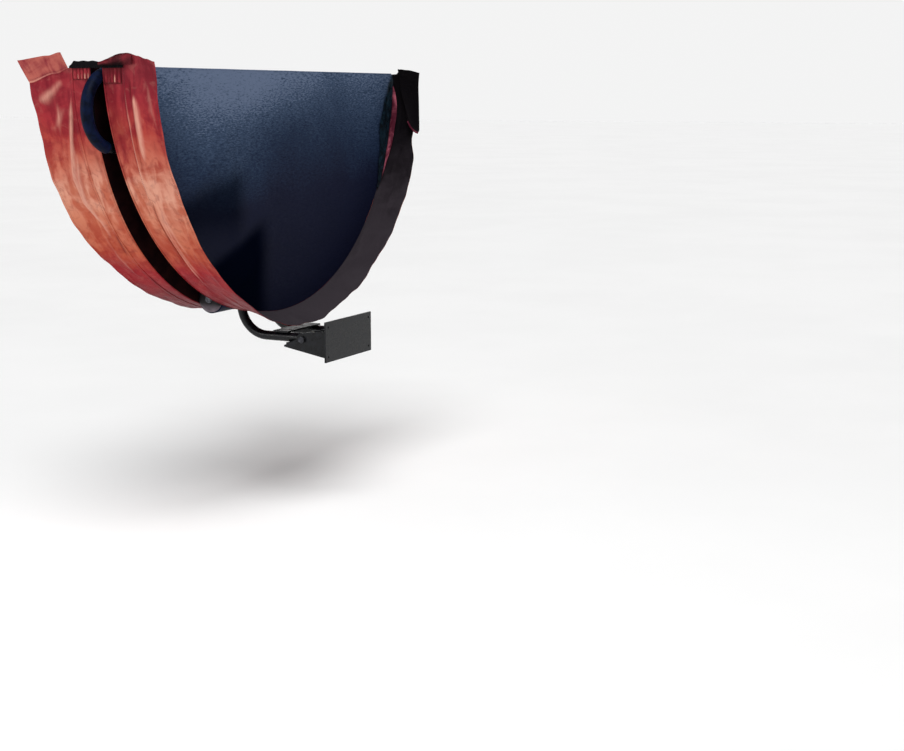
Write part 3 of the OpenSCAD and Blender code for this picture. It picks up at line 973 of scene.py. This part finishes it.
def liner_bulge(x, depth, seed):
    """The liner is slack: it bellies out between soft diagonal folds."""
    middle = ease((RADIUS - np.hypot(x, depth)) / 0.14) * ease((depth - BUTT) / 0.05)
    swell = 1.0 + 0.5 * np.sin(4.0 * x + seed) + 0.5 * np.cos(5.0 * depth + 3.0 * x)
    folds = np.zeros(x.shape)
    for start, end, height, spread in LINER_FOLDS:
        folds += liner_fold(x, -depth, start, end, height, spread)
    return MM * (2.0 * swell * middle + 0.4 + 0.4 * seam_pucker(x, depth, 130.0)) + folds * middle


def liner_fold(x, z, start, end, height, spread):
    """A soft fold of the liner between two points, given from the fold's middle."""
    run = np.subtract(end, start)
    x, z = x - start[0], z - start[1]
    share = (x * run[0] + z * run[1]) / (run @ run)
    off = (x * run[1] - z * run[0]) / np.linalg.norm(run)
    ends = ease(share / 0.3 + 0.5) * ease((1.0 - share) / 0.3 + 0.5)
    return height * MM * crest(off, spread, 0.4) * ends


def rim_crown(angle, width):
    """The rim band is a little fuller in its middle."""
    low = top_width(RADIUS * np.sin(np.clip(angle, 0.0, math.pi)))
    share = np.clip((width - low) / (BASE - low), 0.0, 1.0)
    return 1.8 * MM * np.sin(math.pi * share)


def rim_radius(half, angle, width):
    """How far the rim band is from the cover's middle."""
    lift = np.maximum(relief(half, angle, width), -0.4 * MM)
    return RADIUS + 0.5 * MM + rim_crown(angle, width) + lift


def make_rim(half):
    """The band round a half's edge."""
    angle = down(END_ANGLE, math.pi - END_ANGLE, 620)
    share = over(0.0, 1.0, 26)
    low = top_width(RADIUS * np.sin(angle)) + 0.5 * MM
    width = low + share * (BASE - 1.0 * MM - low)
    points = on_half(half, angle, width, rim_radius(half, angle, width))
    piece = cover_cloth(half, "rim_cloth", points, SKIN, outward_of(half, points), node="rim_band",
                        raised=relief(half, angle, width), soiled=grip_shade_and_seam_line(half, angle, width))


def grip_shade_and_seam_line(half, angle, width):
    """Painted shade: the far rim is painted black beside the left grip, in the grip's shade. Each
    rim is also darker along its top seam.
    """
    top = top_width(RADIUS * np.sin(angle))
    seam = 0.75 * ease(1.0 - (width - top) / (7.0 * MM))
    if half is NEAR:
        return seam
    knots = [(1, 22), (4, 40), (8, 68), (12, 68), (15, 48), (17, 22)]
    reach = eased_between(angle / DEG, knots) * MM
    return np.maximum(seam, ease((reach - width) / (8.0 * MM)))


def make_welt(half):
    """The liner's hem, rolled over the seam along the fold's face."""
    reach = FACE_REACH - 3.0 * MM
    x = np.linspace(-reach, reach, 260)
    sag = 0.7 * MM * np.sin(23.0 * x) * np.sin(7.0 * x + 1.0)
    path = from_fold(x, half.sign * (BASE - 1.6 * MM), -BUTT + 0.9 * MM + 0.3 * sag)
    # the hem takes the liner's painted light along the fold's face
    piece = sweep(f"{half.name}_liner_hem", path, 3.0 * MM, LINER, faded=painted_liner_light(x, -BUTT))
    belongs(piece, half.body, "liner")


def make_piping(half):
    """The welt that closes the seam between the rim band and the top skin."""
    angle = np.linspace(END_ANGLE, math.pi - END_ANGLE, 420)
    width = top_width(RADIUS * np.sin(angle))
    path = on_half(half, angle, width, RADIUS + 0.6 * MM)
    # painted shade: the far piping is painted black beside the left grip
    soiled = ease((17.5 - angle / DEG) / 2.5) if half is FAR else 0.0
    piece = sweep(f"{half.name}_top_piping", path, 2.3 * MM, VINYL, soiled=soiled)
    belongs(piece, half.body, "vinyl")


# ---- skirts ----

def skirt_angle(half, share, width):
    """The angle at a share of the way round, with the two ends cut to their own lines."""
    left = eased_between(width / MM, LEFT_END[half.name]) * MM
    right = eased_between(width / MM, RIGHT_END[half.name]) * MM
    start = -left / RADIUS
    stop = math.pi + right / RADIUS
    return start + share * (stop - start)


def skirt_radius(half, angle, width):
    """How far a skirt's cloth is from the cover's middle: its flare, free edge and ripples."""
    share = np.clip((width - BASE) / SKIRT_W, 0.0, 1.0)
    edge = eased_between(angle / DEG, EDGE_OUT[half.name]) * MM
    arc = RADIUS * angle
    phase = 1.7 if half is NEAR else 0.4
    ripple = 3.4 * np.sin(arc * 21.0 + phase) + 2.1 * np.sin(arc * 37.0 + 2.2 * phase)
    ripple += 1.3 * np.sin(arc * 71.0 + 0.7 * phase)
    ripple = ripple * eased_between(angle / DEG, RIPPLED[half.name])
    loose = ease(share) ** 1.2
    out = share * FLARE + share ** 1.4 * edge + loose * ripple * MM
    above = np.clip(-angle, 0.0, 1.0) + np.clip(angle - math.pi, 0.0, 1.0)
    out = out + RADIUS * above * 0.22
    inner = np.clip(angle, END_ANGLE, math.pi - END_ANGLE)
    seam = rim_radius(half, inner, np.minimum(width, BASE)) + 1.7 * MM
    return seam + out + skirt_relief(half, angle, width)


def skirt_relief(half, angle, width):
    """Creases past the seam; up to it the rim's own radius holds them."""
    free = np.clip((width - BASE) / (4.0 * MM), 0.0, 1.0)
    seam = np.maximum(relief(half, angle, np.full_like(width, BASE)), -0.4 * MM)
    return free * (relief(half, angle, width) - seam)


def make_skirt(half):
    """The cloth that hangs past a half's round edge, with its two rows of stitches."""
    share, drop = shares(680, 52)
    wander = 1.6 * MM * np.sin(40.0 * share + 1.0) + 1.0 * MM * np.sin(97.0 * share)
    turned = eased_between(180.0 * share, EDGE_TURNED[half.name]) * MM
    width = BASE - SKIRT_LAP + drop * (SKIRT_LAP + SKIRT_W - turned) + drop ** 3 * wander
    angle = skirt_angle(half, share, width)
    points = on_half(half, angle, width, skirt_radius(half, angle, width))
    outward = outward_of(half, points)
    piece = cover_cloth(half, "skirt_cloth", points, SKIRT_CLOTH, outward, node="skirt",
                        raised=relief(half, angle, width))
    sewn = [
        sew(half, f"{half.name}_skirt_{kind}_stitches", points, np.s_[:, column], outward)
        for kind, column in (("seam", 3), ("hem", 48))
    ]


# ---- gathers at the hinge ends ----

PLEATS = 5


def make_gathers(half, end):
    """The rim band's end, bunched into pleats and sewn down under the end webbing."""
    chance = np.random.default_rng(31 + (half is FAR) + 2 * (end > 0))
    low = GAP + 3.0 * MM
    high = BASE - SKIRT_LAP - 2.0 * MM
    drop, across = shares(34, 150)
    deep = GATHER_H * (1.04 if half is NEAR else 0.8)
    depth = BUTT * 0.2 + drop * (deep - BUTT * 0.2)
    width = low + across * (high - low)
    marks = running(chance.uniform(0.5, 1.5, PLEATS))
    phase = np.interp(across, marks / marks[-1], np.arange(PLEATS + 1)) * math.pi
    lean = 0.35 * drop * np.sin(3.0 * across + end)
    pleat = np.abs(np.sin(phase + lean)) ** 0.8
    which = np.clip((phase / math.pi).astype(int), 0, PLEATS - 1)
    height = chance.uniform(0.35, 1.0, PLEATS)[which]
    swell = (0.25 + 0.75 * ease(drop / 0.75)) * ease((1.0 - drop) / 0.12)
    out = (1.4 + 6.4 * pleat * height * swell) * MM
    angle = depth / RADIUS
    angle = angle if end < 0 else math.pi - angle
    points = on_half(half, angle, width, RADIUS + 2.0 * MM + out)
    outward = outward_of(half, points)
    # painted shade under the webbing along the top rows and along the outer edge; the pleat heights also paint
    # highlights on the crests and shade between them
    soiled = 0.3 * ease((across - 0.9) / 0.1) + 0.85 * ease((0.14 - drop) / 0.14)
    piece = cover_cloth(half, f"{SIDES[end]}_gathers", points, 1.0 * MM, outward,
                        raised=(out - 4.4 * MM) * 1.9, soiled=np.clip(soiled, 0.0, 0.9))
    row = sew(half, f"{half.name}_{SIDES[end]}_gather_stitches", points, -3, outward,
              pitch=4.6 * MM, length=3.2 * MM)
    return piece


# ---- flaps and hems at the skirts' ends ----

def make_raised_flap():
    """The far half's flap, which stands past the fold at the -X end and leans outward."""
    width = over(BASE + 3.0 * MM, BASE + SKIRT_W, 60)
    up = down(0.0, 1.0, 40)
    root_z = eased_between(width / MM, LEFT_END["far"]) * MM
    root_angle = -root_z / RADIUS
    root_r = skirt_radius(FAR, root_angle, width)
    share = (width - BASE) / SKIRT_W
    tall = (48.0 + 20.0 * share) * MM
    lean = 26.0 + 8.0 * share
    curl = 3.0 * MM * np.sin(7.0 * share * math.pi / 3 + 2.0 * up)
    x = -root_r * np.cos(root_angle) - 1.0 * MM - up * lean * MM - curl * up
    z = root_z + (up * 1.06 - 0.06) * tall + 2.0 * MM * np.sin(9.0 * share) * up
    y = width + 12.0 * MM * up * share + 6.0 * MM * up
    points = from_fold(x, y, z)
    # painted highlight: a pale line along the flap's root, given as a crest height the shape does not have
    hinge = ease(1.0 - np.abs(up - 0.05) / 0.07) * (0.4 + 0.6 * share)
    outward = (-1.0, 0.0, -0.4)
    piece = cover_cloth(FAR, "raised_flap", points, SKIRT_CLOTH, outward, FLAP_VINYL, node="skirt_flap",
                        raised=7.0 * MM * hinge)
    row = sew(FAR, "far_flap_stitches", points, 5, outward)


def make_turned_flap():
    """The near half's flap, turned down inside the skirt at the +X end, backing outward."""
    drop, across = shares(70, 34)
    inner = 0.149 + 0.054 * drop ** 1.3
    outer = 0.252 - 0.006 * np.sin(5.0 * drop) + 0.003 * drop
    width = inner + across * (outer - inner)
    top = 0.017 - 0.016 * across
    length = 0.196 + 0.058 * np.sin(0.5 * math.pi * across ** 0.8)
    share = (width - BASE) / SKIRT_W
    x = RADIUS - 12.0 * MM + share * 4.0 * MM - 26.0 * MM * drop ** 2
    x = x + 3.0 * MM * np.sin(9.0 * drop + 4.0 * across)
    curl = ease((drop - 0.93) / 0.07)
    points = from_fold(x - 9.0 * MM * curl, -width, top - drop * length + 5.0 * MM * curl)
    piece = cover_cloth(NEAR, "turned_flap", points, SKIRT_CLOTH, (1.0, 0.0, 0.0), node="skirt_flap",
                        edge_look=1)
    # the hem is in the vinyl painted pale as a highlight
    hem = sweep("near_flap_hem", points[-1, 6:] - (2.0 * MM, 0.0, 0.0), 3.6 * MM, LIT_HEM_VINYL)
    belongs(hem, NEAR.body, "vinyl")


def make_end_roll():
    """The near skirt's end, folded over in a strip that comes down to the fold at the -X end."""
    run, across = shares(70, 16)
    width = 0.152 - 0.136 * run
    top = eased_between(run, [(0.0, 37), (0.2, 41), (0.45, 36), (0.75, 22), (1.0, 12)]) * MM
    bottom = eased_between(run, [(0.0, 3), (0.5, 2), (1.0, 1)]) * MM
    x = -(RADIUS + 15.0 * MM) - 4.5 * MM * np.sin(math.pi * across) * (1.1 - 0.6 * run)
    z = bottom + across * (top - bottom) + 1.1 * MM * np.sin(21.0 * run) * across
    # painted shade: dark on the roll's lower half and along its top edge
    soiled = 0.9 * ease((0.5 - across) / 0.4) * ease(run / 0.4) + 0.5 * ease((across - 0.8) / 0.2)
    points = from_fold(x, -width, z)
    piece = cover_cloth(NEAR, "end_roll", points, 1.2 * MM, (-1.0, 0.0, 0.0), ROLL_VINYL, soiled=soiled)


def make_root_hem():
    """The skirt's turned edge at its root inside the +X end, a thin curled strip of vinyl painted
    pale as a highlight, with painted shade low down and along its inner edge.
    """
    run, turn = shares(120, 10)
    z = -0.05 - 0.425 * run
    reach = (5.0 + 27.0 * np.sin(math.pi * run ** 0.6)) * MM
    width = BASE + 2.0 * MM + turn * reach
    wall = np.sqrt(RADIUS ** 2 - z ** 2) - 5.0 * MM
    x = wall - 6.0 * MM * np.sin(math.pi * turn) - 2.0 * MM * np.sin(19.0 * run)
    # painted shade: dark at the bottom and along its inner edge
    soiled = np.maximum(ease((run - 0.75) / 0.25), 0.9 * ease((0.3 - turn) / 0.3) * ease(run / 0.3))
    points = from_fold(x, -width, z)
    piece = cover_cloth(NEAR, "root_hem", points, 1.0 * MM, (-1.0, -0.4, 0.0), LIT_HEM_VINYL, soiled=soiled)


def make_crumpled_edge():
    """Slack liner bunched along the near underside's +X edge, in a copy of the liner painted dark
    as shade.
    """
    angle = down(179.3, 148.0, 120) * DEG
    share = over(0.0, 1.0, 30)
    knots = [(148, 12), (156, 48), (165, 84), (171, 66), (176, 38), (179.3, 9)]
    reach = eased_between(angle / DEG, knots) * MM
    radius = RADIUS - 3.0 * MM - share * reach
    fold = np.sin(share * 9.0 + 14.0 * angle) * np.sin(share * 23.0 - 31.0 * angle)
    lift = np.sin(math.pi * share) ** 0.6 * (7.0 + 4.0 * fold) * MM
    width = BASE + 7.0 * MM + lift * ease(reach / 0.03)
    points = on_half(NEAR, angle, width, radius)
    piece = cover_cloth(NEAR, "crumpled_edge", points, 1.0 * MM, (0.0, -1.0, 0.0), SHADED_CRUMPLE, "liner")


# ---- the hinge, the butt faces and their zips ----

UP = (0.0, 0.0, 1.0)
TOOTH_PITCH = 2.6 * MM
# half a tooth's length, half its width, and its height
TOOTH = np.array([0.95, 2.1, 1.0]) * MM


def bend_with_fold(piece, reach):
    """Bakes a piece's transform into its mesh; the points a reach to each side of the fold go unused."""
    start = from_fold(0.0, -reach, 0.0)
    end = from_fold(0.0, reach, 0.0)
    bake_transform(piece)


def make_hinge_strip():
    """Vinyl sewn to both top skins, which goes over the lifter's top bar."""
    radius = STRIP_HI[1] + 0.4 * MM
    flange = 38.0 * MM
    reach = STRIP_HI[0]
    turn = np.linspace(-math.pi / 2, math.pi / 2, 29)
    legs = np.linspace(1.0, 0.0, 12)[:-1]
    foot = GAP - 1.4 * MM
    y = np.concatenate([
        -radius - (foot - radius) * legs, radius * np.sin(turn), radius + (foot - radius) * legs[::-1],
    ])
    z = np.concatenate([-flange * legs, radius * np.cos(turn), -flange * legs[::-1]])
    x = down(-reach, reach, 420)
    ease_top = np.clip(z / radius, 0.0, 1.0)
    ripple = 0.9 * np.sin(61.0 * x + 2.0 * np.sin(17.0 * x)) + 0.6 * np.sin(143.0 * x)
    out = 1.0 + MM * (0.6 + ripple) * ease_top / radius
    points = from_fold(x, y * out, z * out - BAR_BELOW)
    outward = np.stack(np.broadcast_arrays(0.0 * x, y, np.maximum(z, 0.0)), -1)
    # the hinge strip takes the top skins' vinyl, painted dark as shade
    piece = shell("hinge_strip_cloth", points, 1.2 * MM, outward, [SHADED_TOP_VINYL, BACKING])
    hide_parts("hinge_strip")
    bend_with_fold(piece, 19.0 * MM)


def make_end_webbing(end):
    """Black webbing that ties the two halves together over the fold at one end."""
    x = end * (RADIUS + (8.5 if end < 0 else 12.5) * MM)
    run = down(-1.0, 1.0, 120)
    up = over(0.0, 1.0, 14)
    reach = BASE - 4.0 * MM
    tall = eased_between(run, [(-1.0, 13), (-0.6, 17), (0.2, 23), (0.8, 23), (1.0, 9)]) * MM
    z = (-6.0 if end < 0 else -34.0) * MM + up * tall + 1.0 * MM * np.sin(17.0 * run) * up
    out = end * (1.4 * MM * np.sin(19.0 * run) * np.sin(8.0 * run + 1.0) - 1.5 * MM * up ** 2)
    piece = shell(f"{SIDES[end]}_end_webbing", from_fold(x + out, run * reach, z), 1.2 * MM,
                  (end, 0.0, 0.0), [WEBBING])
    bend_with_fold(piece, 14.0 * MM)


def make_butt(half):
    """The vinyl across the fold's face of a half, slightly full on either side of its zip."""
    reach = FACE_REACH - 2.0 * MM
    x = down(-reach, reach, 360)
    across = over(0.0, 1.0, 30)
    width = GAP + 0.4 * MM + across * (BASE - GAP - 0.8 * MM)
    full = np.sin(math.pi * across) * np.clip(np.abs(across - 0.5) / 0.2, 0.25, 1.0)
    swell = 0.8 + 0.35 * np.sin(31.0 * x) * np.sin(12.0 * across + 9.0 * x)
    z = -BUTT + MM * (0.2 + 1.6 * full * swell)
    piece = cover_cloth(half, "butt_cloth", from_fold(x, half.sign * width, z), SKIN, UP, node="butt_panel")


def make_zip(half):
    """Zip tape with two rows of moulded teeth down its middle."""
    lo, hi = ZIP_LO[0], ZIP_HI[0]
    middle = half.sign * (BASE + GAP) / 2
    wide = (ZIP_HI[1] - ZIP_LO[1]) / 2
    x = down(lo, hi, 300)
    across = over(-1.0, 1.0, 10)
    z = -BUTT + MM * (0.95 + 0.12 * np.sin(160.0 * x) * across)
    tape = shell(f"{half.name}_zip_tape", from_fold(x, middle + across * wide, z), 0.5 * MM, UP, [WEBBING])
    belongs(tape, half.body, "zip_tape", f"{half.name}_zip")
    row = make_teeth(f"{half.name}_zip_teeth", np.arange(lo + 4.0 * MM, hi - 4.0 * MM, TOOTH_PITCH), middle)
    belongs(row, half.body, "zip_tape")


def make_teeth(name, places, middle):
    """Teeth that narrow towards their tops, on either side of a zip's middle in turn."""
    foot = [(-1, -1), (1, -1), (1, 1), (-1, 1)]
    block = np.array([(a, b, 0.0) for a, b in foot] + [(0.75 * a, 0.75 * b, 1.0) for a, b in foot])
    side = np.where(np.arange(len(places)) % 2, 0.7 * MM, -0.7 * MM)
    at = from_fold(places, middle + side, -BUTT + 0.8 * MM)
    points = (block * TOOTH)[None] + at[:, None]
    faces = copies(tube_faces(2, 4), 8, len(places))
    return build(name, points.reshape(-1, 3), faces, [SLOT_LOOKS["rubber_pad"]])


# ---- making everything ----

make_camera()
make_studio()
make_floor()
paint_cad_nodes()
for half in HALVES:
    # top skins in the vinyl painted dark as shade, darker still along the rim
    plain_skin(half, "top_skin", top_width, top_bulge, top_rim_shade, SHADED_TOP_VINYL, 1.3 + half.sign)
    # the near liner gets the painted shadow of the skirt; the far one none
    shade_mask = skirt_shadow_paint if half is NEAR else no_shade
    plain_skin(half, "underside_liner", base_width, liner_bulge, shade_mask, LINER, 0.6 + half.sign)
    make_rim(half)
    make_piping(half)
    make_welt(half)
    make_skirt(half)
    left = make_gathers(half, -1)
    make_gathers(half, 1)
    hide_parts(f"{half.name}_corner_gathers")
    make_butt(half)
    make_zip(half)
make_raised_flap()
make_turned_flap()
make_end_roll()
make_root_hem()
make_crumpled_edge()
make_hinge_strip()
make_end_webbing(-1)
make_end_webbing(1)
